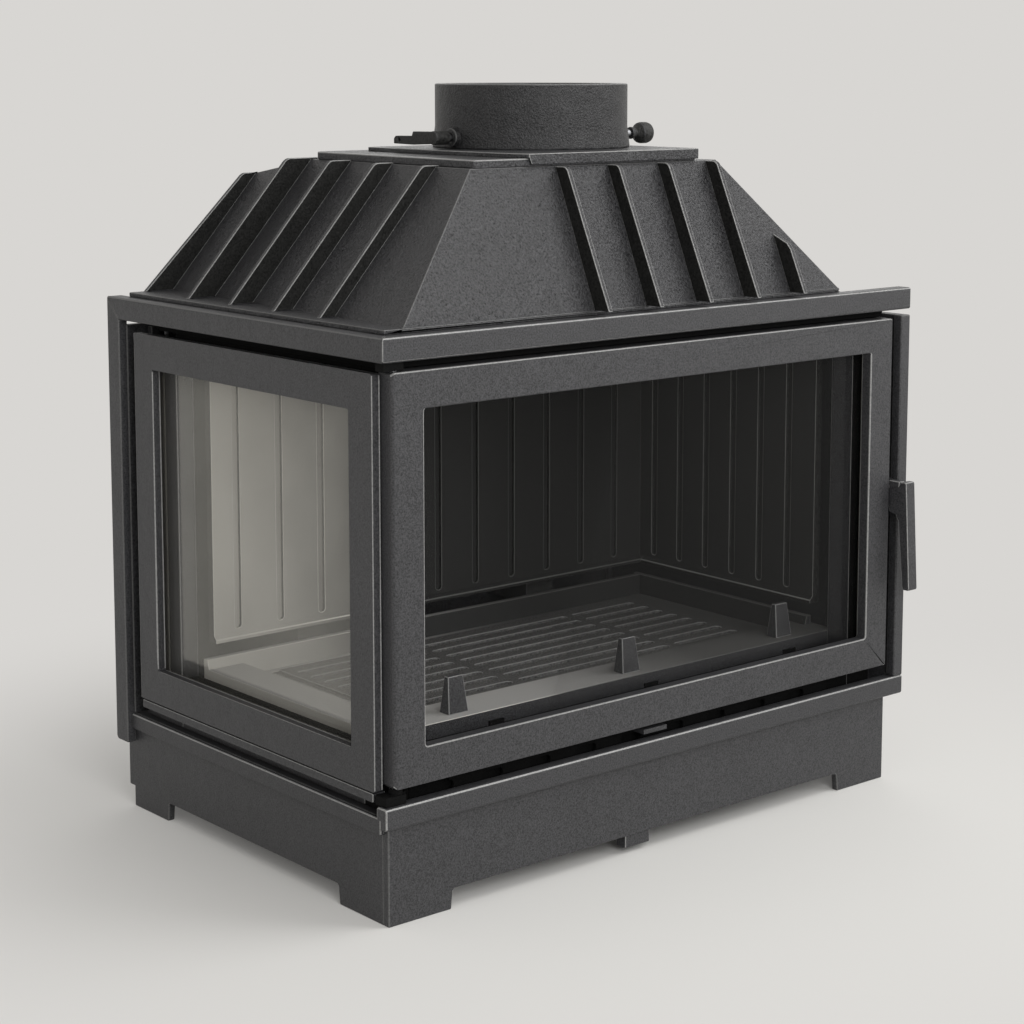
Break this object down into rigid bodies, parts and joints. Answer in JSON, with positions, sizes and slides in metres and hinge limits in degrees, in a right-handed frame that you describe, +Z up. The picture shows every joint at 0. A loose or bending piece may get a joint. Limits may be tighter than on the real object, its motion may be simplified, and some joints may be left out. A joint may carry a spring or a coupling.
{
  "type": "corner fireplace insert",
  "caption": "Cast-iron corner fireplace insert with a hinged glass door, a side window, a finned hood, a round flue collar with damper, a hearth grate and air controls.",
  "frame": {"origin": "On the floor plane under the middle of the overall outline, which runs from the left and back faces of the surround to its right end and the front of the door handle.", "axes": "+X to the right along the door, +Y from the door towards the back, +Z up. The door faces -Y and the side window faces -X."},
  "size_m": [0.7114, 0.503, 0.764],
  "materials": {
    "painted_cast": "heat-proof anthracite paint on cast iron, satin with a fine sand-cast grain",
    "dark_cast": "matt near-black cast iron",
    "sheet_steel": "matt black painted sheet steel",
    "bright_steel": "plain turned steel",
    "ceramic_glass": "clear heat-proof ceramic glass",
    "fibre_seal": "dark grey woven glass-fibre seal"
  },
  "bodies": {
    "stove_body": {"base_front_plate": "painted_cast", "base_left_plate": "painted_cast", "base_right_plate": "painted_cast", "base_rear_plate": "painted_cast", "bottom_plate": "dark_cast", "front_ledge_bar": "painted_cast", "side_ledge_bar": "painted_cast", "ash_box": "sheet_steel", "ash_pan": "sheet_steel", "hearth_plate": "dark_cast", "log_posts": "painted_cast", "front_bottom_rail": "dark_cast", "front_top_rail": "dark_cast", "right_jamb": "dark_cast", "corner_post": "dark_cast", "side_bottom_rail": "dark_cast", "side_top_rail": "dark_cast", "rear_jamb": "dark_cast", "right_wall": "dark_cast", "back_wall": "dark_cast", "fireback": "dark_cast", "right_liner": "dark_cast", "fireback_brackets": "sheet_steel", "baffle": "dark_cast", "baffle_lugs": "dark_cast", "top_plate": "dark_cast", "mantel_front_bar": "painted_cast", "mantel_left_bar": "painted_cast", "left_rear_post": "painted_cast", "right_front_post": "painted_cast", "hood": "painted_cast", "hood_left_fins": "painted_cast", "hood_front_fins": "painted_cast", "cap_plate": "painted_cast", "flue_flange": "painted_cast", "flue_collar": "painted_cast", "tie_rods": "bright_steel", "side_window_frame": "painted_cast", "side_glass": "ceramic_glass", "side_glass_seal": "fibre_seal", "hinge_brackets": "dark_cast", "hinge_pins": "bright_steel", "latch_keeper": "bright_steel"},
    "door": {"door_frame": "painted_cast", "door_glass": "ceramic_glass", "door_glass_seal": "fibre_seal", "door_rope_seal": "fibre_seal", "door_glass_clips": "bright_steel", "door_clip_screws": "bright_steel", "handle_pin": "bright_steel"},
    "handle": {"handle": "painted_cast"},
    "damper": {"damper_disc": "dark_cast", "damper_spindle": "bright_steel", "damper_lever": "painted_cast", "damper_knob": "painted_cast"},
    "air_slider": {"air_slider": "sheet_steel"},
    "ash_air_shutter": {"ash_air_shutter": "sheet_steel"},
    "grate": {"grate": "dark_cast"}
  },
  "joints": [
    {"name": "door_hinge", "type": "hinge", "parent": "stove_body", "child": "door", "pos_m": [-0.33525, -0.2135, 0.322], "axis": [0, 0, -1], "range_deg": [0, 110]},
    {"name": "handle_lift", "type": "hinge", "parent": "door", "child": "handle", "pos_m": [0.33575, -0.2175, 0.33], "axis": [-1, 0, 0], "range_deg": [0, 45]},
    {"name": "damper_turn", "type": "hinge", "parent": "stove_body", "child": "damper", "pos_m": [0.00025, -0.0099, 0.71], "axis": [1, 0, 0], "range_deg": [0, 90]},
    {"name": "air_slider_slide", "type": "slide", "parent": "stove_body", "child": "air_slider", "axis": [1, 0, 0], "range_m": [0, 0.028]},
    {"name": "ash_air_pull", "type": "slide", "parent": "stove_body", "child": "ash_air_shutter", "axis": [0, -1, 0], "range_m": [0, 0.02]},
    {"name": "grate_lift_out", "type": "slide", "parent": "stove_body", "child": "grate", "axis": [0, 0, 1], "range_m": [0, 0.12]}
  ]
}
